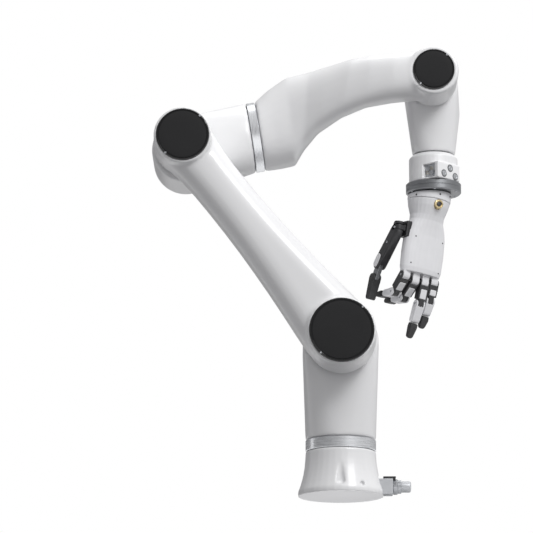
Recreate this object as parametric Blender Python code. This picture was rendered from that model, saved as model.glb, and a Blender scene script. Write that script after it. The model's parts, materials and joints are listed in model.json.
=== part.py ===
"""Six-axis collaborative robot arm that carries a five-finger hand.

Metres, +Z up. The origin is the centre of the base's mounting face, and joint 1 turns about Z.
Joints 2, 3 and 5 turn about lines parallel to Y, joint 4 turns along the forearm, and joint 6
about a vertical line through the tool flange. Each body hangs from an empty on its joint's axis.
"""
import math

import bmesh
import bpy
from mathutils import Matrix, Vector

GAP = 0.0003                      # between touching pieces
SEGMENTS = 36                     # round a large circle

# Joint centres
SHOULDER = Vector((0.0, 0.0, 0.228))
ELBOW = Vector((-0.238, 0.0, 0.528))
FOREARM_RING = Vector((-0.130, 0.0, 0.5615))
FOREARM_ANGLE = math.radians(9.0)           # of joint 4's axis above the horizontal
WRIST = Vector((0.142, 0.0, 0.636))
TOOL_X = 0.145                              # joint 6's axis

# Base
BASE_RADIUS = 0.065
COLUMN_RADIUS = 0.0535
RING_LOW = 0.069
RING_HIGH = 0.0855
PLATE_THICKNESS = 0.012
BASE_BORE = 0.0468
CONNECTOR_HEIGHT = 0.015

# Arm joints, measured along each joint's axis towards the viewer's side
HOUSING_REAR = -0.0545
HOUSING_FRONT = 0.0625            # front of the shoulder and elbow housings
ARM_REAR = 0.064
ARM_FRONT = 0.142
BOSS_FRONT = 0.150
BOSS_SETBACK = 0.0015             # a boss is this much smaller than its arm end
CAP_DEPTH = 0.004                 # of the seats the black caps sit in
ARM_WALL = 0.0045
ARM_ROUND = 0.030                 # rounding of the upper arm's front edges
SHOULDER_END = 0.053              # radii of the upper arm's two ends
ELBOW_END = 0.0455
# the arm's half width between its ends, by the share of the way from shoulder to elbow
ARM_SIDES = ((0.06, 0.0524), (0.11, 0.0508), (0.16, 0.0487), (0.24, 0.0456), (0.32, 0.0428),
             (0.41, 0.0402), (0.51, 0.0379), (0.61, 0.0366), (0.71, 0.0361), (0.80, 0.0363),
             (0.86, 0.0373), (0.91, 0.0390))
SHOULDER_CAP = 0.0485
ELBOW_CAP = 0.040
WRIST_CAP = 0.0315
RING4_RADIUS = 0.054
RING4_HALF = 0.0065
FOREARM_REAR = 0.045              # the forearm's wrist end
FOREARM_FRONT = 0.125
WRIST_END = 0.0385

# Tool
WRIST_BOTTOM = 0.5325
FLANGE_TOP = 0.5315
FLANGE_BOTTOM = 0.4865
PLATE_BOTTOM = 0.4705
BLOCK_SIDE = 0.050
BLOCK_LOW = 0.4865
BLOCK_HIGH = 0.5125
BLOCK_CENTRE = Vector((0.150, -0.0146, 0.0))
BUTTON_RADIUS = 0.0042
BUTTON_PLACES = ((0.0136, -0.0050), (0.0276, 0.0050), (0.0390, -0.0065))
SOCKET_SIDE = 0.020

# Hand
HAND_X = 0.139
HAND_TOP = 0.470
HAND_LEAN = math.radians(7.5)
HAND_TURN = math.radians(32.0)
COLLAR_RADIUS = 0.0335
COLLAR_LENGTH = 0.0117
KNUCKLE_RADIUS = 0.0066
CHEEK_OUTER = 0.0079              # half widths across a finger
CHEEK_INNER = 0.0066
TONGUE = 0.0046
# name, x, knuckle z, rest angles at the two joints (degrees), lengths of the three phalanges
FINGERS = (
    ("index", -0.0265, -0.1340, 43.0, 47.0, 0.033, 0.026, 0.022),
    ("middle", -0.0090, -0.1390, 43.0, 47.0, 0.034, 0.027, 0.022),
    ("ring", 0.0085, -0.1390, 8.0, 10.0, 0.033, 0.030, 0.024),
    ("pinky", 0.0255, -0.1350, 8.0, 10.0, 0.029, 0.023, 0.020),
)
THUMB_ROOT = Vector((-0.0460, 0.0040, -0.0620))
THUMB_KNUCKLE = Vector((-0.0460, 0.0440, -0.1160))
THUMB_TIP_JOINT = Vector((-0.0460, 0.0530, -0.1370))
THUMB_END = Vector((-0.0460, 0.0590, -0.1660))

FRONT = Matrix.Rotation(math.radians(90), 4, "X")      # local z points at -Y, local y at +Z

WHITE = ("white_paint", (0.86, 0.86, 0.87), 0.35, 0.0)
SILVER = ("brushed_aluminium", (0.62, 0.63, 0.65), 0.30, 1.0)
STEEL = ("machined_steel", (0.45, 0.46, 0.48), 0.35, 1.0)
BLACK_GLOSS = ("black_gloss", (0.015, 0.015, 0.017), 0.12, 0.0)
BLACK = ("black_plastic", (0.025, 0.025, 0.028), 0.45, 0.0)
GREY = ("grey_anodised", (0.22, 0.23, 0.24), 0.42, 0.6)
BRASS = ("brass", (0.62, 0.52, 0.32), 0.30, 1.0)


# ---------------------------------------------------------------- helpers

def clear_scene():
    for item in list(bpy.data.objects):
        bpy.data.objects.remove(item, do_unlink=True)


def material(spec, node):
    """A Principled material of the node's own."""
    name, colour, roughness, metallic = spec
    made = bpy.data.materials.new(name + "_" + node)
    made.use_nodes = True
    shader = made.node_tree.nodes["Principled BSDF"]
    shader.inputs["Base Color"].default_value = (*colour, 1.0)
    shader.inputs["Roughness"].default_value = roughness
    shader.inputs["Metallic"].default_value = metallic
    made.diffuse_color = (*colour, 1.0)
    return made


def place(x=0.0, y=0.0, z=0.0):
    return Matrix.Translation((x, y, z))


def body_empty(name, frame, parent=None):
    """An empty on a joint's axis; everything that moves with the joint hangs from it."""
    empty = bpy.data.objects.new(name, None)
    empty.empty_display_size = 0.03
    bpy.context.scene.collection.objects.link(empty)
    attach(empty, frame, parent)
    empty["frame"] = [value for row in frame for value in row]
    return empty


def attach(item, frame, parent):
    """Puts an object at a world frame, under a parent empty."""
    if parent is not None:
        values = list(parent["frame"])
        parent_frame = Matrix([values[row * 4:row * 4 + 4] for row in range(4)])
        item.parent = parent
        item.matrix_parent_inverse = parent_frame.inverted()
    item.matrix_basis = frame


def solid(name, mesh, frame, parent, spec, cutters=(), joined=()):
    """One named object from a bmesh, with its unions first and its cuts after them."""
    item = mesh_object(name, mesh, frame, parent)
    item.data.materials.append(material(spec, name))
    for index, piece in enumerate(joined):
        combine(item, piece, "UNION", frame, parent, index)
    for index, piece in enumerate(cutters):
        combine(item, piece, "DIFFERENCE", frame, parent, index)
    return item


def mesh_object(name, mesh, frame, parent):
    bmesh.ops.recalc_face_normals(mesh, faces=mesh.faces)
    data = bpy.data.meshes.new(name)
    mesh.to_mesh(data)
    mesh.free()
    data.shade_smooth()
    data.set_sharp_from_angle(angle=math.radians(35))
    item = bpy.data.objects.new(name, data)
    bpy.context.scene.collection.objects.link(item)
    attach(item, frame, parent)
    return item


def combine(item, mesh, operation, frame, parent, index):
    """Adds a Boolean whose second shape is a hidden guide object in the same frame."""
    guide = mesh_object(f"{item.name}_{operation.lower()}_{index}", mesh, frame, parent)
    guide.hide_render = True
    guide.display_type = "WIRE"
    boolean = item.modifiers.new(guide.name, "BOOLEAN")
    boolean.operation = operation
    boolean.solver = "EXACT"
    boolean.object = guide


def moved(mesh, matrix):
    bmesh.ops.transform(mesh, matrix=matrix, verts=mesh.verts)
    return mesh


def drum_profile(radius, low, high, round_low=0.0, round_high=0.0, steps=2):
    """The side of a round solid from bottom to top, as (radius, height) with rounded edges."""
    points = []
    for corner, size, start in ((low, round_low, -90.0), (high, round_high, 0.0)):
        if size == 0.0:
            points.append((radius, corner))
            continue
        centre = corner + size if corner == low else corner - size
        for step in range(steps + 1):
            angle = math.radians(start + 90.0 * step / steps)
            points.append((radius - size + size * math.cos(angle), centre + size * math.sin(angle)))
    return points


def turned(profile, segments=SEGMENTS, closed=False):
    """Turns a (radius, height) profile about Z. An open one is capped; a closed one is a ring."""
    mesh = bmesh.new()
    rings = []
    for radius, height in profile:
        rings.append([mesh.verts.new((radius * math.cos(2 * math.pi * k / segments),
                                      radius * math.sin(2 * math.pi * k / segments), height))
                      for k in range(segments)])
    pairs = list(zip(rings, rings[1:]))
    if closed:
        pairs.append((rings[-1], rings[0]))
    for low, high in pairs:
        bridge(mesh, low, high)
    if not closed:
        mesh.faces.new(reversed(rings[0]))
        mesh.faces.new(rings[-1])
    return mesh


def bridge(mesh, low, high):
    count = len(low)
    for k in range(count):
        after = (k + 1) % count
        mesh.faces.new((low[k], low[after], high[after], high[k]))


def drum(radius, low, high, round_low=0.0, round_high=0.0, centre=(0.0, 0.0), segments=SEGMENTS,
         steps=1):
    mesh = turned(drum_profile(radius, low, high, round_low, round_high, steps), segments)
    return moved(mesh, place(centre[0], centre[1], 0.0))


def ring_points(profile, matrix, segments=SEGMENTS):
    """Points of a turned profile in another frame, for a hull."""
    points = []
    for radius, height in profile:
        for k in range(segments):
            angle = 2 * math.pi * k / segments
            points.append(matrix @ Vector((radius * math.cos(angle), radius * math.sin(angle), height)))
    return points


def hulled(points):
    """The convex hull of a set of points, with its flat faces merged."""
    mesh = bmesh.new()
    for point in points:
        mesh.verts.new(point)
    result = bmesh.ops.convex_hull(mesh, input=mesh.verts)
    spare = {item for item in result["geom_interior"] + result["geom_unused"]
             if isinstance(item, bmesh.types.BMVert)}
    bmesh.ops.delete(mesh, geom=list(spare), context="VERTS")
    bmesh.ops.dissolve_limit(mesh, angle_limit=math.radians(0.02), verts=mesh.verts, edges=mesh.edges)
    return mesh


def lofted(rings):
    """Joins rings of equal point counts, and caps both ends."""
    mesh = bmesh.new()
    rows = [[mesh.verts.new(point) for point in ring] for ring in rings]
    for low, high in zip(rows, rows[1:]):
        bridge(mesh, low, high)
    mesh.faces.new(reversed(rows[0]))
    mesh.faces.new(rows[-1])
    return mesh


def box(low, high, bevel=0.0):
    """A block from corner to corner, with its edges cut if a bevel is given."""
    size = [high[k] - low[k] for k in range(3)]
    middle = [(high[k] + low[k]) / 2 for k in range(3)]
    mesh = bmesh.new()
    bmesh.ops.create_cube(mesh, size=1.0, matrix=place(*middle) @ Matrix.Diagonal((*size, 1.0)))
    if bevel:
        bmesh.ops.bevel(mesh, geom=mesh.edges[:], offset=bevel, segments=2, profile=0.5,
                        affect="EDGES")
    return mesh


def aimed(origin, direction):
    """A frame at origin whose z axis points along direction."""
    return Matrix.Translation(origin) @ Vector(direction).to_track_quat("Z", "Y").to_matrix().to_4x4()


# ---------------------------------------------------------------- base

def make_base(body):
    flare_steps = 7
    profile = [(0.0005, 0.0), (BASE_RADIUS, 0.0)]
    for step in range(flare_steps + 1):
        part = step / flare_steps
        height = 0.007 + part * (RING_LOW - GAP - 0.007)
        profile.append((COLUMN_RADIUS + (BASE_RADIUS - COLUMN_RADIUS) * (1 - part) ** 2, height))
    profile += [(BASE_BORE, RING_LOW - GAP), (BASE_BORE, PLATE_THICKNESS), (0.0005, PLATE_THICKNESS)]
    cutters = []
    for azimuth in (-91, 179, 89):
        groove = drum(0.006, PLATE_THICKNESS, 0.060, segments=16)
        reach = place(0.0605, 0.0, 0.0)
        cutters.append(moved(groove, Matrix.Rotation(math.radians(azimuth), 4, "Z") @ reach))
    side_hole = moved(drum(0.0036, 0.057, 0.075, segments=16), Matrix.Rotation(math.radians(90), 4, "Y"))
    cutters.append(moved(side_hole, place(0, 0, 0.0125)))
    bmesh.ops.rotate(cutters[-1], verts=cutters[-1].verts, matrix=Matrix.Rotation(math.radians(-59), 3, "Z"))
    cutters.append(box((0.0540, -0.0126, 0.0022), (0.0800, 0.0126, 0.0320)))
    solid("base_housing", turned(profile), place(), body, WHITE, cutters)

    ring = [(0.0470, RING_LOW), (COLUMN_RADIUS, RING_LOW), (COLUMN_RADIUS, RING_HIGH),
            (0.0470, RING_HIGH)]
    solid("j1_ring", turned(ring, closed=True), place(), body, SILVER)
    drive = [(0.0460, PLATE_THICKNESS + GAP), (0.0460, 0.060), (0.036, 0.060), (0.036, 0.0852)]
    solid("j1_drive", turned(drive, 32), place(), body, STEEL)

    solid("connector_socket", box((0.0543, -0.0122, 0.0026), (0.0785, 0.0122, 0.0265), 0.0012),
          place(), body, GREY)
    along_x = place(0.0, 0.0, CONNECTOR_HEIGHT) @ Matrix.Rotation(math.radians(90), 4, "Y")
    collar = [(0.0112, 0.0788), (0.0118, 0.0795), (0.0118, 0.0855), (0.0104, 0.0862), (0.0104, 0.0910)]
    solid("connector_collar", turned(collar, 24), along_x, body, SILVER)
    solid("connector_cap", drum(0.0086, 0.0913, 0.1060, 0.0, 0.003, segments=24), along_x, body, GREY)


def make_latch(body):
    solid("connector_latch", box((0.0640, -0.0080, 0.0273), (0.0830, 0.0080, 0.0303), 0.0005),
          place(), body, BLACK)


# ---------------------------------------------------------------- shoulder

def make_shoulder(body):
    joint = Matrix.Translation(SHOULDER) @ FRONT
    points = ring_points([(COLUMN_RADIUS, RING_HIGH + GAP), (COLUMN_RADIUS, 0.135)], place())
    points += ring_points(drum_profile(0.0575, HOUSING_REAR, HOUSING_FRONT, 0.006, 0.004), joint)
    to_joint = joint.inverted()
    mesh = moved(hulled(points), to_joint)
    flange_recess = moved(turned([(0.0443, 0.080), (0.0443, 0.0960), (0.036, 0.0960), (0.036, 0.165)], 32),
                          to_joint)
    bore = drum(0.0440, HOUSING_REAR - 0.01, 0.075, segments=32)
    solid("shoulder_housing", mesh, joint, body, WHITE, [flange_recess, bore])
    solid("j1_output_flange", drum(0.0440, RING_HIGH + 2 * GAP, 0.0955, segments=32), place(), body, STEEL)
    solid("shoulder_rear_cover",
          drum(0.050, HOUSING_REAR - 0.0085, HOUSING_REAR - GAP, 0.004, 0.0, steps=2), joint, body,
          BLACK_GLOSS)
    drive = [(0.0436, HOUSING_REAR + GAP), (0.0436, 0.0560), (0.030, 0.0560), (0.030, 0.0634)]
    solid("j2_drive", turned(drive, 32), joint, body, STEEL)


# ---------------------------------------------------------------- upper arm

def arm_outline():
    """The upper arm seen along its joints, as (point, outward direction) pairs, anticlockwise."""
    along = Vector((ELBOW.x - SHOULDER.x, ELBOW.z - SHOULDER.z))
    length = along.length
    along.normalize()
    across = Vector((-along.y, along.x))

    def arc(distance, radius, start, end, steps=18):
        angles = [math.radians(start + (end - start) * step / steps) for step in range(steps + 1)]
        return [along * (distance + radius * math.cos(a)) + across * radius * math.sin(a) for a in angles]

    points = arc(0.0, SHOULDER_END, 90.0, 270.0)
    points += [along * share * length - across * half for share, half in ARM_SIDES]
    points += arc(length, ELBOW_END, -112.0, 112.0)
    points += [along * share * length + across * half for share, half in reversed(ARM_SIDES)]
    outline = []
    for index, point in enumerate(points):
        ahead = points[(index + 1) % len(points)] - points[index - 1]
        outline.append((point, Vector((ahead.y, -ahead.x)).normalized()))
    return outline


def arm_form(inset, low, high, round_low, round_high):
    """The upper arm's outline between two heights, drawn in by an inset and with rounded edges."""
    outline = arm_outline()
    rings = []
    for offset, height in drum_profile(-inset, low, high, round_low, round_high, 5):
        rings.append([(*(point + outward * offset), height) for point, outward in outline])
    return lofted(rings)


def make_upper_arm(body):
    joint = Matrix.Translation(SHOULDER) @ FRONT
    reach = ELBOW - SHOULDER
    elbow_at = (reach.x, reach.z)
    boss_root = 0.120
    cap_floor = BOSS_FRONT - CAP_DEPTH
    cap_front = BOSS_FRONT + 0.0012
    shell = arm_form(0.0, ARM_REAR, ARM_FRONT, 0.016, ARM_ROUND)
    bosses = [drum(SHOULDER_END - BOSS_SETBACK, boss_root, BOSS_FRONT, 0.0, 0.002),
              drum(ELBOW_END - BOSS_SETBACK, boss_root, BOSS_FRONT, 0.0, 0.002, elbow_at)]
    cutters = [arm_form(ARM_WALL, ARM_REAR + 0.018, ARM_FRONT - 0.006, 0.004, ARM_ROUND - ARM_WALL),
               drum(SHOULDER_CAP + GAP, cap_floor, BOSS_FRONT + 0.01),
               drum(ELBOW_CAP + GAP, cap_floor, BOSS_FRONT + 0.01, centre=elbow_at),
               drum(0.0383, 0.050, 0.0745, segments=32),
               drum(0.0365, 0.050, 0.120, centre=elbow_at, segments=32)]
    solid("upper_arm_shell", shell, joint, body, WHITE, cutters, bosses)

    elbow = Matrix.Translation(ELBOW) @ FRONT
    solid("shoulder_cap", drum(SHOULDER_CAP, cap_floor + GAP, cap_front, 0.0, 0.001),
          joint, body, BLACK_GLOSS)
    solid("elbow_cap", drum(ELBOW_CAP, cap_floor + GAP, cap_front, 0.0, 0.001),
          elbow, body, BLACK_GLOSS)
    solid("j2_output_flange", drum(0.0380, ARM_REAR + GAP, 0.0740, segments=32), joint, body, STEEL)
    drive = [(0.028, 0.0646), (0.028, 0.070), (0.0362, 0.070), (0.0362, 0.1190)]
    solid("j3_drive", turned(drive, 32), elbow, body, STEEL)


# ---------------------------------------------------------------- elbow

def forearm_axis_frame():
    """Joint 4: z runs from the elbow to the wrist, y stays level."""
    turn = Matrix.Rotation(math.radians(90) - FOREARM_ANGLE, 4, "Y")
    return Matrix.Translation(FOREARM_RING) @ turn


def make_elbow(body):
    elbow = Matrix.Translation(ELBOW) @ FRONT
    roll = forearm_axis_frame()
    points = ring_points(drum_profile(0.050, -0.044, HOUSING_FRONT, 0.014, 0.004), elbow)
    points += ring_points([(RING4_RADIUS, -RING4_HALF - GAP), (RING4_RADIUS, -0.020)], roll)
    mesh = moved(hulled(points), elbow.inverted())
    recess = drum(0.0333, 0.0535, 0.080, segments=32)
    bore = moved(drum(0.0400, -0.055, 0.010, segments=32), elbow.inverted() @ roll)
    solid("elbow_housing", mesh, elbow, body, WHITE, [recess, bore])
    solid("j3_output_flange", drum(0.0330, 0.0540, 0.0632, segments=32), elbow, body, STEEL)
    drive = [(0.0396, -0.0545), (0.0396, -0.010), (0.032, -0.010), (0.032, 0.0062)]
    solid("j4_drive", turned(drive, 32), roll, body, STEEL)
    ring = [(0.0470, -RING4_HALF), (RING4_RADIUS, -RING4_HALF), (RING4_RADIUS, RING4_HALF),
            (0.0470, RING4_HALF)]
    solid("j4_ring", turned(ring, closed=True), roll, body, SILVER)


# ---------------------------------------------------------------- forearm

def forearm_sections():
    """Lower and upper outline points (x, z), the depth range in y, and the corner squareness."""
    roll = forearm_axis_frame()
    start = RING4_HALF + GAP
    low = roll @ Vector((RING4_RADIUS, 0.0, start))
    high = roll @ Vector((-RING4_RADIUS, 0.0, start))
    return [
        ((low.x, low.z), (high.x, high.z), (-0.054, 0.054), 2.0),
        ((-0.092, 0.5120), (-0.112, 0.6340), (-0.055, 0.053), 2.1),
        ((-0.068, 0.5170), (-0.084, 0.6530), (-0.058, 0.050), 2.3),
        ((-0.055, 0.5390), (-0.048, 0.6590), (-0.067, 0.040), 2.4),
        ((-0.034, 0.5600), (-0.012, 0.6640), (-0.084, 0.012), 2.5),
        ((0.002, 0.5780), (0.018, 0.6670), (-0.101, -0.023), 2.6),
        ((0.040, 0.5900), (0.048, 0.6680), (-0.113, -0.043), 2.6),
        ((0.080, 0.5960), (0.082, 0.6690), (-0.1215, -0.0465), 2.6),
        ((0.112, 0.5990), (0.112, 0.6720), (-0.1240, -0.0465), 2.6),
        ((0.142, 0.6010), (0.142, 0.6710), (-0.1240, -0.0465), 2.6),
    ]


def section_ring(section, inset=0.0, count=28):
    """One closed superellipse between the outline points, in world coordinates."""
    low, high, depth, power = section
    centre = Vector(((low[0] + high[0]) / 2, (depth[0] + depth[1]) / 2, (low[1] + high[1]) / 2))
    across = Vector(((high[0] - low[0]) / 2, 0.0, (high[1] - low[1]) / 2))
    across *= (across.length - inset) / across.length
    deep = (depth[1] - depth[0]) / 2 - inset
    ring = []
    for k in range(count):
        angle = 2 * math.pi * k / count
        side = math.copysign(abs(math.cos(angle)) ** (2 / power), math.cos(angle))
        rise = math.copysign(abs(math.sin(angle)) ** (2 / power), math.sin(angle))
        ring.append(centre + across * rise + Vector((0.0, deep * side, 0.0)))
    return ring


def make_forearm(body):
    roll = forearm_axis_frame()
    to_roll = roll.inverted()
    wrist = Matrix.Translation(WRIST) @ FRONT
    sections = forearm_sections()
    shell = moved(lofted([section_ring(section) for section in sections]), to_roll)
    wrist_end = moved(drum(WRIST_END, FOREARM_REAR, FOREARM_FRONT, 0.004, 0.004), to_roll @ wrist)
    hollow = moved(lofted([section_ring(section, 0.013, 16) for section in sections[1:6]]), to_roll)
    cutters = [hollow,
               drum(0.0403, 0.0, 0.0165, segments=32),
               drum(0.030, 0.010, 0.050, segments=24),
               moved(drum(WRIST_CAP + GAP, FOREARM_FRONT - 0.004, 0.140), to_roll @ wrist),
               moved(drum(0.0300, 0.030, 0.100, segments=24), to_roll @ wrist)]
    solid("forearm_shell", shell, roll, body, WHITE, cutters, [wrist_end])
    solid("j4_output_flange", drum(0.0400, RING4_HALF + 2 * GAP, 0.0160, segments=32), roll, body, STEEL)
    cap_low = FOREARM_FRONT - 0.004 + GAP
    solid("wrist_cap", drum(WRIST_CAP, cap_low, FOREARM_FRONT + 0.0012, 0.0, 0.001), wrist, body, BLACK_GLOSS)
    solid("j5_drive", drum(0.0297, 0.0470, 0.0980, segments=24), wrist, body, STEEL)


# ---------------------------------------------------------------- wrist

def make_wrist(body):
    joint = Matrix.Translation(WRIST) @ FRONT
    points = ring_points(drum_profile(0.0405, -0.040, FOREARM_REAR - 0.001, 0.012, 0.003), joint)
    points += ring_points([(0.0385, 0.598)], place(TOOL_X + 0.0035))
    points += ring_points([(0.0340, 0.552), (0.0330, WRIST_BOTTOM)], place(TOOL_X + 0.001))
    to_joint = joint.inverted()
    recess = drum(0.0283, 0.0340, 0.060, segments=24)
    pocket = moved(drum(0.0270, 0.500, 0.590, centre=(TOOL_X, 0.0), segments=24), to_joint)
    solid("wrist_housing", moved(hulled(points), to_joint), joint, body, WHITE, [recess, pocket])
    solid("j5_output_flange", drum(0.0280, 0.0345, 0.0437, segments=24), joint, body, STEEL)
    solid("j6_drive", drum(0.0267, WRIST_BOTTOM + 0.001, 0.588, segments=24), place(TOOL_X), body, STEEL)


# ---------------------------------------------------------------- tool

def block_frame(side):
    """Origin on the tool block's front corner, x along one face away from it, z out of that face."""
    half_diagonal = BLOCK_SIDE / math.sqrt(2)
    corner = BLOCK_CENTRE + Vector((0.0, -half_diagonal, (BLOCK_LOW + BLOCK_HIGH) / 2))
    slope = math.sqrt(0.5)
    along = Vector((side * slope, slope, 0.0))
    out = Vector((side * slope, -slope, 0.0))
    up = out.cross(along)
    axes = Matrix((along, up, out)).transposed().to_4x4()
    return Matrix.Translation(corner) @ axes


def make_tool(body):
    axis = place(TOOL_X)
    right = block_frame(1.0)
    left = block_frame(-1.0)
    to_axis = axis.inverted()
    half = BLOCK_SIDE / 2
    block = box((-half, -half, BLOCK_LOW), (half, half, BLOCK_HIGH), 0.0015)
    block = moved(block,
                  to_axis @ Matrix.Translation(BLOCK_CENTRE) @ Matrix.Rotation(math.radians(45), 4, "Z"))
    cutters = []
    for along, rise in BUTTON_PLACES:
        sign = right.col[1].z
        cutters.append(moved(drum(BUTTON_RADIUS + 0.0004, -0.0085, 0.01, centre=(along, rise * sign),
                                  segments=16), to_axis @ right))
    pocket = box((0.0180 - SOCKET_SIDE / 2 - GAP, -SOCKET_SIDE / 2 - GAP, -0.006),
                 (0.0180 + SOCKET_SIDE / 2 + GAP, SOCKET_SIDE / 2 + GAP, 0.01))
    cutters.append(moved(pocket, to_axis @ left))
    body_mesh = drum(0.0375, FLANGE_BOTTOM + GAP / 2, FLANGE_TOP, 0.001, 0.006)
    solid("tool_flange", body_mesh, axis, body, WHITE, cutters, [block])
    socket = box((0.0180 - SOCKET_SIDE / 2, -SOCKET_SIDE / 2, -0.0057),
                 (0.0180 + SOCKET_SIDE / 2, SOCKET_SIDE / 2, -0.0030), 0.0004)
    ports = [drum(0.0042, -0.0045, -0.0005, centre=(0.0140, 0.003), segments=16),
             drum(0.0042, -0.0045, -0.0005, centre=(0.0225, -0.003), segments=16)]
    solid("io_socket", socket, left, body, STEEL, (), ports)
    plate = drum(0.0425, PLATE_BOTTOM + GAP, FLANGE_BOTTOM - GAP, 0.0015, 0.0015)
    solid("adaptor_plate", plate, axis, body, GREY)


def make_buttons(parent):
    right = block_frame(1.0)
    for number, (along, rise) in enumerate(BUTTON_PLACES, 1):
        place_on_face = right @ place(along, rise * right.col[1].z, 0.0)
        empty = body_empty(f"button_{number}_slide", place_on_face, parent)
        solid(f"button_{number}", drum(BUTTON_RADIUS, -0.0060, 0.0012, 0.0, 0.0008, segments=16),
              place_on_face, empty, SILVER)


# ---------------------------------------------------------------- hand

def hand_frame():
    """x runs from the index to the little finger, y out of the palm, and the fingers along -z."""
    turn = Matrix.Rotation(HAND_LEAN, 4, "Y") @ Matrix.Rotation(HAND_TURN, 4, "Z")
    return place(HAND_X, 0.0, HAND_TOP) @ turn


def palm_ring(height, wide, thick, power, count=28):
    ring = []
    for k in range(count):
        angle = 2 * math.pi * k / count
        x = math.copysign(abs(math.cos(angle)) ** (2 / power), math.cos(angle))
        y = math.copysign(abs(math.sin(angle)) ** (2 / power), math.sin(angle))
        ring.append(Vector((wide * x, thick * y, height)))
    return ring


def pin_points(radius, half_width, x, y, z, count=12):
    """Points of a short drum whose axis runs along x."""
    points = []
    for k in range(count):
        angle = 2 * math.pi * k / count
        for side in (-half_width, half_width):
            points.append(Vector((x + side, y + radius * math.cos(angle), z + radius * math.sin(angle))))
    return points


def make_hand(body):
    hand = hand_frame()
    collar = ring_points([(COLLAR_RADIUS, HAND_TOP - GAP)], place(HAND_X))
    collar += ring_points([(COLLAR_RADIUS, -COLLAR_LENGTH)], hand)
    solid("hand_collar", moved(hulled(collar), hand.inverted()), hand, body, WHITE)

    sections = [(-0.0120, 0.0330, 0.0330, 2.0), (-0.022, 0.0310, 0.0305, 2.0), (-0.036, 0.0272, 0.0235, 2.1),
                (-0.044, 0.0276, 0.0205, 2.2), (-0.056, 0.0322, 0.0182, 2.4), (-0.068, 0.0350, 0.0165, 2.6),
                (-0.095, 0.0362, 0.0150, 2.8), (-0.120, 0.0356, 0.0140, 2.8), (-0.1275, 0.0340, 0.0125, 2.6)]
    shell = lofted([palm_ring(*section) for section in sections])
    lugs = []
    for _, x, z, *_ in FINGERS:
        points = pin_points(KNUCKLE_RADIUS, CHEEK_INNER - 0.0004, x, 0.0, z)
        points += pin_points(0.0060, CHEEK_INNER - 0.0004, x, 0.0, -0.118)
        lugs.append(hulled(points))
    socket_frame = aimed(hand.inverted() @ Vector((HAND_X + 0.0095, -0.0205, 0.4485)),
                         (hand.inverted().to_3x3() @ Vector((0.42, -0.91, 0.0))))
    bore = moved(drum(0.0072, 0.0, 0.03, segments=20), socket_frame)
    thumb_pocket = box((-0.0500, -0.0070, -0.0750), (-0.0290, 0.0150, -0.0500))
    solid("hand_shell", shell, hand, body, WHITE, [bore, thumb_pocket], lugs)
    solid("hand_socket", drum(0.0069, GAP, 0.0098, 0.0, 0.0008, segments=20),
          hand @ socket_frame, body, BRASS)

    pad = []
    for height, wide in ((-0.070, 0.0230), (-0.078, 0.0255), (-0.112, 0.0265), (-0.118, 0.0240)):
        pad += [Vector((side * wide, y, height)) for side in (-1, 1) for y in (0.0100, 0.0182)]
    pad_mesh = hulled(pad)
    bmesh.ops.bevel(pad_mesh, geom=pad_mesh.edges[:], offset=0.0012, segments=2, profile=0.5, affect="EDGES")
    pad_cut = [lofted([[Vector((p.x * 1.012, p.y + 0.0004, p.z)) for p in palm_ring(*s)]
                       for s in sections[3:]])]
    solid("palm_pad", pad_mesh, hand, body, BLACK, pad_cut)
    root = THUMB_ROOT
    base = box((-0.0376, -0.0066, -0.0746), (-0.0293, 0.0146, -0.0504), 0.0008)
    pivot = hulled(ring_points([(0.0062, -0.0040), (0.0062, 0.0040)], Matrix.Translation(root), 16)
                   + ring_points([(0.0062, -0.0040), (0.0062, 0.0040)], place(-0.036, root.y, root.z), 16))
    solid("thumb_base", base, hand, body, BLACK, (), [pivot])


def phalanx(joint_radius, half_width, length, end_radius, end_width):
    """A tapering finger piece from its joint at the origin down to z = -length."""
    return hulled(pin_points(joint_radius, half_width, 0, 0, 0)
                  + pin_points(end_radius, end_width, 0, 0, -length + end_radius))


def slot(inner, clearance_radius):
    """Room for the neighbour's tongue or lug, open above the joint and towards the palm."""
    reach = 0.02
    points = pin_points(clearance_radius, inner, 0, 0, 0)
    for side in (-inner, inner):
        points += [Vector((side, -reach / 2, reach)), Vector((side, reach, reach)),
                   Vector((side, reach, -clearance_radius))]
    return hulled(points)


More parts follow.
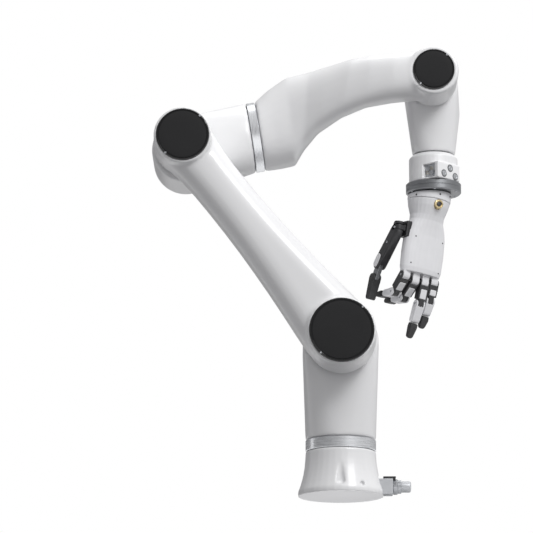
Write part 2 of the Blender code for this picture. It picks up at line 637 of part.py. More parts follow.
def make_finger(body, finger):
    name, x, z, bend, second_bend, first, second, third = finger
    hand = hand_frame()
    knuckle = hand @ place(x, 0.0, z) @ Matrix.Rotation(math.radians(bend), 4, "X")
    proximal = body_empty(f"{name}_knuckle", knuckle, body)
    block_end = first - 0.0073
    back = -KNUCKLE_RADIUS
    frame = hulled(pin_points(0.0063, CHEEK_OUTER, 0, 0, 0)
                   + [Vector((side * 0.0076, y, -block_end)) for side in (-1, 1) for y in (-0.0060, 0.0055)]
                   + [Vector((side * CHEEK_OUTER, y, -0.010)) for side in (-1, 1) for y in (-0.0066, 0.0060)])
    tongue = hulled(pin_points(0.0060, TONGUE, 0, 0, -first)
                    + pin_points(0.0050, TONGUE, 0, 0, -block_end + 0.006))
    window_low = -block_end + 0.0030
    window = box((-0.0052, back - 0.004, window_low), (0.0052, back + 0.0026, -0.0120))
    solid(f"{name}_frame", frame, knuckle, proximal, BLACK,
          [slot(CHEEK_INNER, KNUCKLE_RADIUS + 0.0006), window], [tongue])
    insert = box((-0.0049, back - 0.0006, window_low + GAP), (0.0049, back + 0.0023, -0.0123), 0.0008)
    solid(f"{name}_insert", insert, knuckle, proximal, WHITE)

    joint = knuckle @ place(0.0, 0.0, -first) @ Matrix.Rotation(math.radians(second_bend), 4, "X")
    distal = body_empty(f"{name}_joint", joint, proximal)
    shell = phalanx(0.0063, 0.0074, second, 0.0052, 0.0066)
    solid(f"{name}_distal", shell, joint, distal, WHITE, [slot(TONGUE + 0.0004, 0.0066)])
    low = -second - GAP
    tip = hulled(pin_points(0.0052, 0.0060, 0, 0, low - 0.0056) + pin_points(0.0040, 0.0046, 0, 0.0006,
                                                                             low - third + 0.0050)
                 + [Vector((side * 0.0058, y, low)) for side in (-1, 1) for y in (-0.0042, 0.0042)]
                 + [Vector((side * 0.0022, y, low - third)) for side in (-1, 1) for y in (-0.0014, 0.0024)])
    solid(f"{name}_tip", tip, joint, distal, BLACK)


def thumb_bar(start, end, start_radius, end_radius, half_width):
    """A slab between two points of the thumb's plane, given relative to start."""
    offset = end - start
    return hulled(pin_points(start_radius, half_width, 0, 0, 0)
                  + pin_points(end_radius, half_width, 0, offset.y, offset.z))


def make_thumb(body):
    hand = hand_frame()
    root = hand @ Matrix.Translation(THUMB_ROOT)
    swing = body_empty("thumb_swing", root, body)
    offset = THUMB_KNUCKLE - THUMB_ROOT
    bar = hulled(ring_points([(0.0074, -0.0100), (0.0074, 0.0090)], place(), 16)
                 + pin_points(0.0080, 0.0074, 0, offset.y, offset.z))
    room = box((-0.0080, -0.020, -0.0046), (0.0120, 0.0090, 0.0046))
    end_slot = moved(hulled(pin_points(0.0082, 0.0040, 0, 0, 0)
                            + pin_points(0.0082, 0.0040, 0, 0.012, -0.020)), Matrix.Translation(offset))
    solid("thumb_metacarpal", bar, root, swing, BLACK, [room, end_slot])
    plate = moved(hulled(pin_points(0.0055, 0.0006, 0, 0, 0) + pin_points(0.0050, 0.0006, 0, -0.006, 0.010)),
                  Matrix.Translation(offset + Vector((-0.0074 - GAP - 0.0006, 0.0, 0.0))))
    solid("thumb_side_plate", plate, root, swing, WHITE)

    knuckle = hand @ Matrix.Translation(THUMB_KNUCKLE)
    flex = body_empty("thumb_knuckle", knuckle, swing)
    bend = THUMB_TIP_JOINT - THUMB_KNUCKLE
    middle = thumb_bar(THUMB_KNUCKLE, THUMB_TIP_JOINT, 0.0062, 0.0060, 0.0036)
    solid("thumb_phalanx", middle, knuckle, flex, GREY)

    joint = hand @ Matrix.Translation(THUMB_TIP_JOINT)
    last = body_empty("thumb_tip_joint", joint, flex)
    cover = thumb_bar(THUMB_TIP_JOINT, THUMB_END, 0.0072, 0.0045, 0.0070)
    corridor = pin_points(0.0066, 0.0040, 0, 0, 0)
    for turn in (-8, 0, 14, 28):
        reach = Matrix.Rotation(math.radians(turn), 3, "X") @ (-bend)
        corridor += pin_points(0.0070, 0.0040, 0, reach.y, reach.z)
    room = hulled(corridor)
    solid("thumb_tip", cover, joint, last, BLACK, [room])


def main():
    clear_scene()
    base = body_empty("base", place())
    shoulder = body_empty("joint_1", place(0, 0, RING_HIGH), base)
    upper_arm = body_empty("joint_2", Matrix.Translation(SHOULDER) @ FRONT, shoulder)
    elbow = body_empty("joint_3", Matrix.Translation(ELBOW) @ FRONT, upper_arm)
    forearm = body_empty("joint_4", forearm_axis_frame(), elbow)
    wrist = body_empty("joint_5", Matrix.Translation(WRIST) @ FRONT, forearm)
    tool = body_empty("joint_6", place(TOOL_X, 0, FLANGE_TOP), wrist)
    latch = body_empty("latch_pivot", place(0.0645, 0, 0.0288), base)
    make_base(base)
    make_latch(latch)
    make_shoulder(shoulder)
    make_upper_arm(upper_arm)
    make_elbow(elbow)
    make_forearm(forearm)
    make_wrist(wrist)
    make_tool(tool)
    make_buttons(tool)
    make_hand(tool)
    for finger in FINGERS:
        make_finger(tool, finger)
    make_thumb(tool)


main()
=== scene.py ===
"""Looks of the robot arm: smooth painted castings, turned joint caps and rings, screws and the hand."""
import json
import math

import bmesh
import bpy
from mathutils import Matrix, Vector
from mathutils.bvhtree import BVHTree


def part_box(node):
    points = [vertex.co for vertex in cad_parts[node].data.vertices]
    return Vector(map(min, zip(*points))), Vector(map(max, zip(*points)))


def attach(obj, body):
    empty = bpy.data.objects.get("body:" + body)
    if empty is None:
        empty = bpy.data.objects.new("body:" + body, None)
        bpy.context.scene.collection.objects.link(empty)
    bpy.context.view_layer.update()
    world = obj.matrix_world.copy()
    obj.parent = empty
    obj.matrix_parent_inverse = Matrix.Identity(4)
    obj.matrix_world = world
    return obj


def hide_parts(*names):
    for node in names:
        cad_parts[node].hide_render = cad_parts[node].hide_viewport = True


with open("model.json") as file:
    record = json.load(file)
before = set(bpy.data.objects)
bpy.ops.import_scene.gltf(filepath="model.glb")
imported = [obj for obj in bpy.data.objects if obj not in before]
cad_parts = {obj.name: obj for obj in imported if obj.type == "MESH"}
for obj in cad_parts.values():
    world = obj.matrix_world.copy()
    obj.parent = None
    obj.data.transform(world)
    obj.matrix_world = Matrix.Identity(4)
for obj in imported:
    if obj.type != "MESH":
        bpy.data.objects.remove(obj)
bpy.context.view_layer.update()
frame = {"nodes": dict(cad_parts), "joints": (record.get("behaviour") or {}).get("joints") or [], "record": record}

NODES = frame["nodes"]
JOINTS = {joint["name"]: joint for joint in frame["joints"]}
BODY_OF = {node: body for body, nodes in frame["record"]["behaviour"]["bodies"].items() for node in nodes}
FINGERS = ("index", "middle", "ring", "pinky")

# Camera: low and far away, looking up at the arm
CAMERA_AT = Vector((-0.080, -5.000, -0.745))
CAMERA_YAW = math.radians(0.375)
CAMERA_PITCH = math.radians(12.43)
CAMERA_LENS = 225.14
FLOOR_HOLE = 0.064                # under the base, so that its lower face can be lit and seen
FLOOR_REACH = 12.0
FLOOR_DROP = 0.0006               # below the base's mounting face

FOREARM_TILT = math.radians(9.0)  # of joint 4's axis, for the brush lines on its ring
SILVER = (0.66, 0.67, 0.69)

# Joint caps
CAP_GROOVE_SHARE = 0.925          # of the cap's radius
CAP_SCREW_SHARE = 0.962
CAP_SCREW_ANGLES = (48, 228)

# Tool buttons
BUTTON_RADIUS = 0.0042
BUTTON_HIDDEN_CUT = 0.0016        # off the key's unseen end, so that it stays clear when pressed
BUTTON_PROUD = 0.0012             # of the block's face at rest

# Screws on the hand: angles round the collar, places on the palm shell across and up, and
# shares of the way along the thumb with the distance out to its side
COLLAR_SCREW_ANGLES = (-128, -62, -20, 40, 100, 160)
COLLAR_SCREW_HEIGHT = 0.4640
SHELL_SCREWS = ((-0.024, 0.078), (-0.026, 0.036), (0.026, 0.078), (0.026, 0.030))
THUMB_SCREWS = ((0.02, 0.0072), (0.42, 0.0072), (0.98, 0.0068))


# ---------------------------------------------------------------- materials

class Nodes:
    """A material with a Principled shader, and short ways to wire textures into it."""

    def __init__(self, name, colour, roughness, metallic=0.0, coat=0.0, coat_roughness=0.1):
        self.material = bpy.data.materials.new(name)
        self.material.use_nodes = True
        self.tree = self.material.node_tree
        self.shader = self.tree.nodes["Principled BSDF"]
        self.set("Base Color", (*colour, 1.0))
        self.set("Roughness", roughness)
        self.set("Metallic", metallic)
        self.set("Coat Weight", coat)
        self.set("Coat Roughness", coat_roughness)
        self.colour = colour

    def set(self, name, value):
        self.shader.inputs[name].default_value = value

    def add(self, kind, **values):
        node = self.tree.nodes.new(kind)
        for name, value in values.items():
            if name in node.inputs:
                node.inputs[name].default_value = value
            else:
                setattr(node, name, value)
        return node

    def link(self, source, target):
        self.tree.links.new(source, target)

    def noise(self, scale, detail=3.0, stretch=(1, 1, 1), turn=(0, 0, 0)):
        place = self.add("ShaderNodeTexCoord")
        mapping = self.add("ShaderNodeMapping", Scale=stretch, Rotation=turn)
        texture = self.add("ShaderNodeTexNoise", Scale=scale, Detail=detail)
        self.link(place.outputs["Object"], mapping.inputs["Vector"])
        self.link(mapping.outputs["Vector"], texture.inputs["Vector"])
        return texture.outputs["Fac"]

    def spread(self, source, low, high, start=0.3, end=0.7):
        node = self.add("ShaderNodeMapRange")
        for name, value in (("From Min", start), ("From Max", end), ("To Min", low), ("To Max", high)):
            node.inputs[name].default_value = value
        self.link(source, node.inputs["Value"])
        return node.outputs["Result"]

    def vary_roughness(self, source, low, high):
        self.link(self.spread(source, low, high), self.shader.inputs["Roughness"])

    def vary_colour(self, source, low, high):
        ramp = self.add("ShaderNodeValToRGB")
        ramp.color_ramp.elements[0].position = 0.3
        ramp.color_ramp.elements[1].position = 0.7
        ramp.color_ramp.elements[0].color = (*[c * low for c in self.colour], 1.0)
        ramp.color_ramp.elements[1].color = (*[min(1.0, c * high) for c in self.colour], 1.0)
        self.link(source, ramp.inputs["Fac"])
        self.link(ramp.outputs["Color"], self.shader.inputs["Base Color"])

    def bump(self, source, height, distance=0.0004):
        node = self.add("ShaderNodeBump", Strength=height, Distance=distance)
        self.link(source, node.inputs["Height"])
        self.link(node.outputs["Normal"], self.shader.inputs["Normal"])


def white_paint():
    """Satin powder coat over a casting: fine orange peel and a slow drift in sheen."""
    made = Nodes("white_paint", (0.80, 0.80, 0.81), 0.34, coat=0.25, coat_roughness=0.18)
    made.vary_roughness(made.noise(9.0, 4.0), 0.28, 0.40)
    made.vary_colour(made.noise(5.0, 2.0), 0.985, 1.01)
    made.bump(made.noise(650.0, 2.0), 0.10, 0.0003)
    return made.material


def hand_white():
    made = Nodes("hand_white", (0.76, 0.76, 0.78), 0.38, coat=0.10, coat_roughness=0.25)
    made.vary_roughness(made.noise(60.0, 3.0), 0.32, 0.46)
    made.vary_colour(made.noise(40.0, 2.0), 0.97, 1.01)
    made.bump(made.noise(1500.0, 2.0), 0.10, 0.0002)
    return made.material


def brushed(name, colour, stretch, turn=(0, 0, 0)):
    """Metal turned on a lathe: fine lines round the axis."""
    made = Nodes(name, colour, 0.26, metallic=1.0)
    lines = made.noise(40.0, 6.0, stretch, turn)
    made.vary_roughness(lines, 0.20, 0.38)
    made.vary_colour(lines, 0.90, 1.06)
    made.bump(lines, 0.12, 0.0002)
    return made.material


def machined_steel():
    made = Nodes("machined_steel", (0.42, 0.43, 0.45), 0.32, metallic=1.0)
    grain = made.noise(900.0, 3.0)
    made.vary_roughness(grain, 0.26, 0.42)
    made.vary_colour(made.noise(60.0), 0.9, 1.08)
    made.bump(grain, 0.08, 0.0001)
    return made.material


def black_gloss():
    """Polished black cover with faint wipe marks in its gloss."""
    made = Nodes("black_gloss", (0.008, 0.008, 0.009), 0.10, coat=0.2, coat_roughness=0.05)
    made.set("Specular IOR Level", 0.42)
    made.vary_roughness(made.noise(35.0, 5.0, (1, 1, 3)), 0.07, 0.17)
    made.vary_colour(made.noise(12.0, 2.0), 0.85, 1.25)
    made.bump(made.noise(180.0, 2.0), 0.02, 0.0002)
    return made.material


def black_plastic():
    """Moulded glass-filled nylon with a fine spark-eroded texture."""
    made = Nodes("black_plastic", (0.018, 0.018, 0.020), 0.42)
    grain = made.noise(1800.0, 3.0)
    made.vary_roughness(made.noise(90.0, 3.0), 0.34, 0.52)
    made.vary_colour(made.noise(50.0, 2.0), 0.85, 1.3)
    made.bump(grain, 0.25, 0.0002)
    return made.material


def rubber_tip():
    made = Nodes("rubber_tip", (0.014, 0.014, 0.015), 0.55)
    made.vary_roughness(made.noise(120.0, 3.0), 0.46, 0.64)
    made.vary_colour(made.noise(80.0), 0.85, 1.3)
    made.bump(made.noise(1200.0, 4.0), 0.35, 0.0003)
    return made.material


def grey_anodised():
    made = Nodes("grey_anodised", (0.20, 0.205, 0.215), 0.40, metallic=0.75)
    grain = made.noise(1400.0, 3.0)
    made.vary_roughness(grain, 0.34, 0.48)
    made.vary_colour(made.noise(30.0), 0.92, 1.08)
    made.bump(grain, 0.12, 0.0001)
    return made.material


def light_anodised():
    """Clear-anodised aluminium, bead blasted."""
    made = Nodes("light_anodised", (0.50, 0.51, 0.53), 0.42, metallic=0.55)
    grain = made.noise(1300.0, 3.0)
    made.vary_roughness(grain, 0.34, 0.50)
    made.vary_colour(made.noise(40.0), 0.93, 1.06)
    made.bump(grain, 0.10, 0.0001)
    return made.material


def brass():
    made = Nodes("brass", (0.58, 0.47, 0.27), 0.28, metallic=1.0)
    made.vary_roughness(made.noise(400.0), 0.20, 0.38)
    made.vary_colour(made.noise(90.0), 0.85, 1.08)
    made.bump(made.noise(900.0), 0.08, 0.0001)
    return made.material


MATERIAL = {
    "white_paint": white_paint(),
    "hand_white": hand_white(),
    "machined_steel": machined_steel(),
    "brushed_aluminium": brushed("brushed_aluminium", SILVER, (1, 1, 60)),
    "brushed_level": brushed("brushed_level", SILVER, (60, 1, 1), (0.0, FOREARM_TILT, 0.0)),
    "black_gloss": black_gloss(),
    "black_plastic": black_plastic(),
    "rubber_tip": rubber_tip(),
    "grey_anodised": grey_anodised(),
    "light_anodised": light_anodised(),
    "brass": brass(),
}


# ---------------------------------------------------------------- mesh helpers

def frame_at(origin, direction):
    """z points along direction."""
    turn = Vector(direction).to_track_quat("Z", "Y").to_matrix().to_4x4()
    return Matrix.Translation(origin) @ turn


def bridge(mesh, low, high):
    """Faces between two rows of equally many points."""
    count = len(low)
    for k in range(count):
        after = (k + 1) % count
        mesh.faces.new((low[k], low[after], high[after], high[k]))


def turned(profile, segments=96, hexagon=()):
    """Turns (radius, height) points about z and caps both ends. Rows in hexagon are six-sided."""
    mesh = bmesh.new()
    rows = []
    for index, (radius, height) in enumerate(profile):
        row = []
        for k in range(segments):
            angle = 2 * math.pi * k / segments
            size = radius
            if index in hexagon:
                size *= math.cos(math.pi / 6) / math.cos(angle % (math.pi / 3) - math.pi / 6)
            row.append(mesh.verts.new((size * math.cos(angle), size * math.sin(angle), height)))
        rows.append(row)
    for low, high in zip(rows, rows[1:]):
        bridge(mesh, low, high)
    mesh.faces.new(reversed(rows[0]))
    mesh.faces.new(rows[-1])
    return mesh


def band(profile, segments):
    """Turns (radius, height) points about z into a closed ring with a hole through it."""
    mesh = bmesh.new()
    rows = []
    for radius, height in profile:
        rows.append([mesh.verts.new((radius * math.cos(2 * math.pi * k / segments),
                                     radius * math.sin(2 * math.pi * k / segments), height))
                     for k in range(segments)])
    for low, high in zip(rows, rows[1:] + rows[:1]):
        bridge(mesh, low, high)
    return mesh


def rounded(radius, low, high, edge, steps=4):
    """Side of a turned solid whose top edge is rounded."""
    points = [(radius, low), (radius, high - edge)]
    for step in range(1, steps + 1):
        angle = math.radians(90 * step / steps)
        points.append((radius - edge + edge * math.cos(angle), high - edge + edge * math.sin(angle)))
    return points


def piece(name, mesh, place, body, look, replaces=(), sharp=40):
    """Makes an object from a bmesh, in place, riding on a body."""
    mesh.transform(place)
    bmesh.ops.recalc_face_normals(mesh, faces=mesh.faces)
    data = bpy.data.meshes.new(name)
    mesh.to_mesh(data)
    mesh.free()
    data.shade_smooth()
    data.set_sharp_from_angle(angle=math.radians(sharp))
    return settle(name, data, body, look, replaces)


def settle(name, data, body, look, replaces=()):
    """Makes an object from a mesh, with its look, its body and the CAD nodes it stands for."""
    item = bpy.data.objects.new(name, data)
    bpy.context.scene.collection.objects.link(item)
    data.materials.clear()
    data.materials.append(MATERIAL[look])
    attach(item, body)
    if replaces:
        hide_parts(*replaces)
    return item


def smooth_skin(node, voxel, rounds, look):
    """A fine, softly rounded skin of a CAD node: remeshed evenly, then relaxed."""
    name = node + "_skin"
    source = bpy.data.objects.new(name + "_source", NODES[node].data.copy())
    bpy.context.scene.collection.objects.link(source)
    remesh = source.modifiers.new("remesh", "REMESH")
    remesh.mode = "VOXEL"
    remesh.voxel_size = voxel
    relax = source.modifiers.new("relax", "SMOOTH")
    relax.factor = 0.5
    relax.iterations = rounds
    bpy.context.view_layer.update()
    evaluated = source.evaluated_get(bpy.context.evaluated_depsgraph_get())
    data = bpy.data.meshes.new_from_object(evaluated)
    data.name = name
    bpy.data.objects.remove(source)
    data.shade_smooth()
    return settle(name, data, BODY_OF[node], look, (node,))


def screw(name, place, radius, body, look="machined_steel"):
    """A small cap screw with a hexagon socket; z = 0 is the surface it sits on."""
    height = radius * 0.55
    profile = [(radius, -radius * 0.6), (radius, height * 0.6), (radius * 0.8, height),
               (radius * 0.52, height), (radius * 0.50, height * 0.1), (radius * 0.1, 0.0)]
    return piece(name, turned(profile, 24, hexagon=(3, 4)), place, body, look)


def on_surface(node, origin, direction):
    """Where a ray meets a CAD node, and the normal there."""
    mesh = bmesh.new()
    mesh.from_mesh(NODES[node].data)
    point, normal, _, _ = BVHTree.FromBMesh(mesh).ray_cast(origin, direction.normalized())
    mesh.free()
    if point is None:
        raise RuntimeError("no surface of " + node)
    return point, normal


# ---------------------------------------------------------------- arm

SKINS = (
    ("base_housing", 0.0016, 8),
    ("shoulder_housing", 0.0022, 22),
    ("upper_arm_shell", 0.0022, 18),
    ("elbow_housing", 0.0022, 22),
    ("forearm_shell", 0.0022, 22),
    ("wrist_housing", 0.0018, 22),
)


def joint_cap(node, direction=(0, -1, 0)):
    """A turned cover: rim, groove, and a slightly domed polished face."""
    low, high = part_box(node)
    radius = (high.x - low.x) / 2
    outward = Vector(direction)
    back = high.y if direction[1] < 0 else low.y
    centre = Vector(((low.x + high.x) / 2, back, (low.z + high.z) / 2))
    thick = high.y - low.y
    groove = radius * CAP_GROOVE_SHARE
    deep, fine, flank = 0.0012, 0.0004, 0.0010
    profile = [(radius, 0.0), (radius, thick - deep), (radius - fine, thick - fine),
               (radius - deep, thick), (groove + flank, thick), (groove + fine, thick - deep),
               (groove - fine, thick - deep), (groove - flank, thick - fine / 2)]
    dome_steps = 7
    for step in range(1, dome_steps):
        part = 1 - step / dome_steps
        profile.append(((groove - flank) * part, thick + fine * (1 - part ** 2)))
    place = frame_at(centre, outward)
    body = BODY_OF[node]
    piece(node + "_cover", turned(profile, 128), place, body, "black_gloss", (node,), 25)
    for number, angle in enumerate(CAP_SCREW_ANGLES):
        turn = math.radians(angle)
        sideways = Vector((math.cos(turn), 0, math.sin(turn)))
        spot = centre + sideways * (radius * CAP_SCREW_SHARE) + outward * thick
        screw(f"{node}_screw_{number}", frame_at(spot, outward), 0.0016, body)


def joint_ring(node, look):
    """A silver band with chamfered edges."""
    joint = JOINTS["joint_1" if node == "j1_ring" else "joint_4"]
    axis = Vector(joint["axis"])
    low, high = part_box(node)
    centre = (low + high) / 2
    radius = (high.y - low.y) / 2
    heights = [(vertex.co - centre).dot(axis) for vertex in NODES[node].data.vertices]
    half = max(heights)
    edge = 0.0008
    wall = 0.006
    profile = [(radius - wall, -half), (radius - edge, -half), (radius, -half + edge),
               (radius, half - edge), (radius - edge, half), (radius - wall, half)]
    piece(node + "_band", band(profile, 128), frame_at(centre, axis), BODY_OF[node],
          look, (node,))


def make_arm():
    for node, voxel, rounds in SKINS:
        smooth_skin(node, voxel, rounds, "white_paint")
    for node in ("shoulder_cap", "elbow_cap", "wrist_cap"):
        joint_cap(node)
    joint_cap("shoulder_rear_cover", (0, 1, 0))
    joint_ring("j1_ring", "brushed_aluminium")
    joint_ring("j4_ring", "brushed_level")


# ---------------------------------------------------------------- base connector and tool

def make_connector():
    low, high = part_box("connector_collar")
    axis_z = (low.z + high.z) / 2
    start = Vector((low.x, 0, axis_z))
    length = high.x - low.x
    radius = (high.z - low.z) / 2
    profile = [(radius * 0.94, 0.0), (radius, 0.0008), (radius, length * 0.52),
               (radius * 0.88, length * 0.60), (radius * 0.88, length)]
    mesh = turned(profile, 96)
    for vertex in mesh.verts:
        angle = math.atan2(vertex.co.y, vertex.co.x)
        if 0.0004 < vertex.co.z < length * 0.55:
            vertex.co.xy *= 1 - 0.03 * (1 + math.cos(24 * angle)) / 2
    piece("connector_knurl", mesh, frame_at(start, (1, 0, 0)), "base",
          "machined_steel", ("connector_collar",))
    low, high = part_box("connector_cap")
    radius = (high.z - low.z) / 2
    cap = turned(rounded(radius, 0.0, high.x - low.x, 0.003), 64)
    piece("connector_end", cap, frame_at(Vector((low.x, 0, axis_z)), (1, 0, 0)), "base",
          "light_anodised", ("connector_cap",))
    NODES["connector_socket"].data.materials[0] = MATERIAL["light_anodised"]
    NODES["connector_latch"].data.materials[0] = MATERIAL["black_plastic"]


def make_buttons():
    for number in (1, 2, 3):
        node = f"button_{number}"
        push = Vector(JOINTS[node + "_press"]["axis"])
        low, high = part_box(node)
        centre = (low + high) / 2
        depths = [(vertex.co - centre).dot(-push) for vertex in NODES[node].data.vertices]
        top = max(depths)
        profile = rounded(BUTTON_RADIUS, min(depths) + BUTTON_HIDDEN_CUT, top, 0.0008)
        profile += [(BUTTON_RADIUS * 0.72, top), (BUTTON_RADIUS * 0.62, top - 0.0004),
                    (BUTTON_RADIUS * 0.3, top - 0.0005)]
        piece(node + "_key", turned(profile, 48), frame_at(centre, -push), node,
              "machined_steel", (node,))
        rim = [(0.0046, 0.0), (0.0058, 0.0), (0.0058, 0.0004), (0.0046, 0.0006)]
        face = centre - push * (top - BUTTON_PROUD)
        piece(node + "_bezel", band(rim, 48), frame_at(face, -push), "tool",
              "grey_anodised")


def make_socket():
    """Two round connectors with pins in the block's left face."""
    NODES["io_socket"].data.materials[0] = MATERIAL["machined_steel"]
    slope = math.sqrt(0.5)
    out = Vector((-slope, -slope, 0))
    low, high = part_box("io_socket")
    centre = (low + high) / 2
    along = Vector((-slope, slope, 0))
    top = max((vertex.co - centre).dot(out) for vertex in NODES["io_socket"].data.vertices)
    for number, (across, rise) in enumerate(((-0.0042, 0.003), (0.0043, -0.003))):
        for k in range(5):
            angle = 2 * math.pi * k / 5
            spot = (centre + along * (across + 0.0022 * math.cos(angle)) + out * (top - 0.0002)
                    + Vector((0, 0, rise + 0.0022 * math.sin(angle))))
            pin = turned([(0.0005, 0.0), (0.0005, 0.0008), (0.0002, 0.0010)], 12)
            piece(f"socket_pin_{number}_{k}", pin, frame_at(spot, out), "tool", "brass")


def make_tool():
    smooth_skin("tool_flange", 0.0010, 5, "white_paint")
    low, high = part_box("adaptor_plate")
    radius = (high.x - low.x) / 2
    thick = high.z - low.z
    centre = Vector(((low.x + high.x) / 2, 0, low.z))
    profile = [(radius - 0.0015, 0.0), (radius, 0.0015), (radius, thick * 0.45),
               (radius - 0.0006, thick * 0.48), (radius - 0.0006, thick * 0.52), (radius, thick * 0.55),
               (radius, thick - 0.0015), (radius - 0.0015, thick)]
    piece("adaptor_disc", turned(profile, 128), Matrix.Translation(centre), "tool",
          "grey_anodised", ("adaptor_plate",))
    for k in range(6):
        angle = math.radians(30 + 60 * k)
        spot = centre + Vector((math.cos(angle), math.sin(angle), 0)) * 0.0385
        screw(f"adaptor_screw_{k}", frame_at(spot, (0, 0, -1)), 0.0018, "tool")
    make_buttons()
    make_socket()


# ---------------------------------------------------------------- hand

def hand_axes():
    """Across the fingers, out of the palm, and up the hand, from the recorded joints."""
    across = Vector(JOINTS["index_knuckle"]["axis"])
    up = Vector(JOINTS["thumb_swing"]["axis"])
    return across, up.cross(across), up


def knuckle_point(finger):
    return Vector(JOINTS[finger + "_knuckle"]["pos_m"])


def enlarge(data, direction, factor):
    """Stretches a mesh about its middle along one direction."""
    along = direction.normalized()
    middle = sum((vertex.co.dot(along) for vertex in data.vertices), 0.0) / len(data.vertices)
    for vertex in data.vertices:
        vertex.co += along * (vertex.co.dot(along) - middle) * (factor - 1)


def make_hand():
    across, palm, up = hand_axes()
    smooth_skin("hand_shell", 0.0007, 10, "hand_white")
    smooth_skin("hand_collar", 0.0010, 3, "hand_white")
    smooth_skin("palm_pad", 0.0007, 5, "rubber_tip")
    smooth_skin("thumb_base", 0.0007, 3, "black_plastic")
    smooth_skin("thumb_metacarpal", 0.0007, 6, "black_plastic")
    smooth_skin("thumb_phalanx", 0.0006, 4, "grey_anodised")
    smooth_skin("thumb_tip", 0.0006, 6, "rubber_tip")
    smooth_skin("thumb_side_plate", 0.0003, 2, "hand_white")
    for finger in FINGERS:
        smooth_skin(finger + "_frame", 0.0005, 5, "black_plastic")
        smooth_skin(finger + "_distal", 0.0005, 6, "hand_white")
        smooth_skin(finger + "_tip", 0.0005, 8, "rubber_tip")
        panel = smooth_skin(finger + "_insert", 0.0003, 4, "hand_white")
        enlarge(panel.data, Vector(JOINTS[finger + "_joint"]["pos_m"]) - knuckle_point(finger), 1.5)
        enlarge(panel.data, across, 1.12)
        make_finger_details(finger, across)
    make_hand_screws(across, palm, up)


def make_finger_details(finger, across):
    """A pin head on each side of both joints."""
    middle = Vector(JOINTS[finger + "_joint"]["pos_m"])
    for side in (-1, 1):
        spot = knuckle_point(finger) + across * (side * 0.0070)
        screw(f"{finger}_knuckle_pin_{side + 1}", frame_at(spot, across * side), 0.0021,
              finger + "_proximal")
        spot = middle + across * (side * 0.0071)
        screw(f"{finger}_joint_pin_{side + 1}", frame_at(spot, across * side), 0.0019,
              finger + "_distal")


def make_hand_screws(across, palm, up):
    low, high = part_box("hand_collar")
    wrist = Vector(((low.x + high.x) / 2, 0, COLLAR_SCREW_HEIGHT))
    for number, angle in enumerate(COLLAR_SCREW_ANGLES):
        outward = Vector((math.cos(math.radians(angle)), math.sin(math.radians(angle)), 0))
        point, _ = on_surface("hand_collar", wrist + outward * 0.08, -outward)
        screw(f"collar_screw_{number}", frame_at(point, outward), 0.0014, "tool", "black_plastic")
    ring = knuckle_point("ring")
    for number, (x, z) in enumerate(SHELL_SCREWS):
        origin = ring + across * (x - 0.0085) + up * (z - 0.012) - palm * 0.08
        point, normal = on_surface("hand_shell", origin, palm)
        screw(f"palm_screw_{number}", frame_at(point, normal), 0.0011, "tool", "black_plastic")
    root = Vector(JOINTS["thumb_swing"]["pos_m"])
    end = Vector(JOINTS["thumb_knuckle"]["pos_m"])
    for number, (share, out) in enumerate(THUMB_SCREWS):
        spot = root.lerp(end, share) - across * out
        screw(f"thumb_screw_{number}", frame_at(spot, -across), 0.0017, "thumb_metacarpal")


def make_charge_socket():
    """Round brass socket with a black centre on the hand's wrist."""
    low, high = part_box("hand_socket")
    centre = (low + high) / 2
    out = Vector((0.42, -0.91, 0.0)).normalized()
    top = max((vertex.co - centre).dot(out) for vertex in NODES["hand_socket"].data.vertices)
    profile = rounded(0.0069, -top, top, 0.0008)
    profile += [(0.0048, top), (0.0046, top - 0.0015), (0.002, top - 0.0015)]
    piece("socket_shell", turned(profile, 64), frame_at(centre, out), "tool", "brass",
          ("hand_socket",))
    core = turned([(0.0038, top - 0.0016), (0.0038, top - 0.0004), (0.0032, top), (0.001, top)], 48)
    piece("socket_core", core, frame_at(centre, out), "tool", "black_plastic")


# ---------------------------------------------------------------- inside pieces

def finish_inside():
    for node in NODES:
        if node.startswith("j") and (node.endswith("_drive") or node.endswith("_output_flange")):
            NODES[node].data.materials[0] = MATERIAL["machined_steel"]


# ---------------------------------------------------------------- camera, floor and light

def make_camera():
    camera = bpy.data.objects.new("camera", bpy.data.cameras.new("camera"))
    bpy.context.scene.collection.objects.link(camera)
    camera.data.lens = CAMERA_LENS
    camera.data.sensor_width = 36.0
    camera.data.clip_end = 50.0
    camera.location = CAMERA_AT
    camera.rotation_euler = (math.radians(90) + CAMERA_PITCH, 0.0, CAMERA_YAW)
    bpy.context.scene.camera = camera


def make_floor():
    """A pale floor that is clear from below, so a low view isn't blocked by it."""
    segments = 96
    mesh = bmesh.new()
    rows = []
    for radius in (FLOOR_HOLE, 0.5, FLOOR_REACH):
        rows.append([mesh.verts.new((radius * math.cos(2 * math.pi * k / segments),
                                     radius * math.sin(2 * math.pi * k / segments), 0.0))
                     for k in range(segments)])
    for inner, outer in zip(rows, rows[1:]):
        bridge(mesh, outer, inner)
    data = bpy.data.meshes.new("floor")
    mesh.to_mesh(data)
    mesh.free()
    floor = bpy.data.objects.new("floor", data)
    floor.location.z = -FLOOR_DROP
    floor.visible_diffuse = False
    bpy.context.scene.collection.objects.link(floor)
    made = Nodes("floor_paint", (0.86, 0.86, 0.86), 0.8)
    made.set("Emission Color", (1.0, 1.0, 1.0, 1.0))
    made.set("Emission Strength", 0.22)
    made.bump(made.noise(300.0), 0.05, 0.0005)
    sides = made.add("ShaderNodeNewGeometry")
    clear = made.add("ShaderNodeBsdfTransparent")
    mix = made.add("ShaderNodeMixShader")
    made.link(sides.outputs["Backfacing"], mix.inputs["Fac"])
    made.link(made.shader.outputs["BSDF"], mix.inputs[1])
    made.link(clear.outputs["BSDF"], mix.inputs[2])
    made.link(mix.outputs["Shader"], made.tree.nodes["Material Output"].inputs["Surface"])
    data.materials.append(made.material)


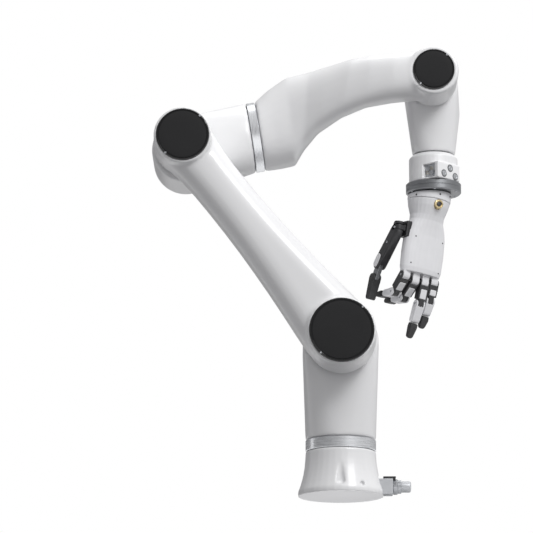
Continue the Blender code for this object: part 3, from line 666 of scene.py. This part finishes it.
def area_light(name, at, aim, size, power, size_y=None):
    light = bpy.data.lights.new(name, "AREA")
    light.energy = power
    light.size = size
    if size_y:
        light.shape = "RECTANGLE"
        light.size_y = size_y
    item = bpy.data.objects.new(name, light)
    bpy.context.scene.collection.objects.link(item)
    item.matrix_world = frame_at(Vector(at), Vector(at) - Vector(aim))
    return item


def make_world():
    """A white studio: bright overhead and to the right, dimmer low on the left."""
    world = bpy.data.worlds.new("studio")
    bpy.context.scene.world = world
    world.use_nodes = True
    tree = world.node_tree
    tree.nodes.clear()
    place = tree.nodes.new("ShaderNodeTexCoord")
    lean = tree.nodes.new("ShaderNodeVectorMath")
    lean.operation = "DOT_PRODUCT"
    lean.inputs[1].default_value = (0.45, -0.10, 0.88)
    ramp = tree.nodes.new("ShaderNodeValToRGB")
    stops = ramp.color_ramp.elements
    stops[0].position = 0.0
    stops[0].color = (0.19, 0.19, 0.195, 1)
    stops[1].position = 1.0
    stops[1].color = (1.0, 1.0, 1.0, 1)
    middle = stops.new(0.50)
    middle.color = (0.31, 0.31, 0.315, 1)
    scale = tree.nodes.new("ShaderNodeMapRange")
    scale.inputs["From Min"].default_value = -1.0
    scale.inputs["From Max"].default_value = 1.0
    lighting = tree.nodes.new("ShaderNodeBackground")
    lighting.inputs["Strength"].default_value = 1.0
    seen = tree.nodes.new("ShaderNodeBackground")
    seen.inputs["Color"].default_value = (1, 1, 1, 1)
    ray = tree.nodes.new("ShaderNodeLightPath")
    mix = tree.nodes.new("ShaderNodeMixShader")
    output = tree.nodes.new("ShaderNodeOutputWorld")
    for source, target in (
            (place.outputs["Generated"], lean.inputs[0]),
            (lean.outputs["Value"], scale.inputs["Value"]),
            (scale.outputs["Result"], ramp.inputs["Fac"]),
            (ramp.outputs["Color"], lighting.inputs["Color"]),
            (ray.outputs["Is Camera Ray"], mix.inputs["Fac"]),
            (lighting.outputs["Background"], mix.inputs[1]),
            (seen.outputs["Background"], mix.inputs[2]),
            (mix.outputs["Shader"], output.inputs["Surface"])):
        tree.links.new(source, target)


def make_lights():
    area_light("key", (1.5, -2.3, 2.1), (0.0, 0.0, 0.35), 1.2, 56)
    area_light("top", (0.2, 0.4, 2.4), (-0.05, 0.0, 0.4), 1.4, 13)
    area_light("left_edge", (-1.9, 0.6, 0.6), (-0.1, 0.0, 0.35), 0.4, 2, 1.4)
    area_light("under_base", (0.0, 0.0, -0.30), (0.0, 0.0, 0.0), 0.2, 0.7)


make_camera()
make_world()
make_lights()
make_floor()
make_arm()
make_connector()
make_tool()
make_hand()
make_charge_socket()
finish_inside()
bpy.context.scene.view_settings.view_transform = "Standard"
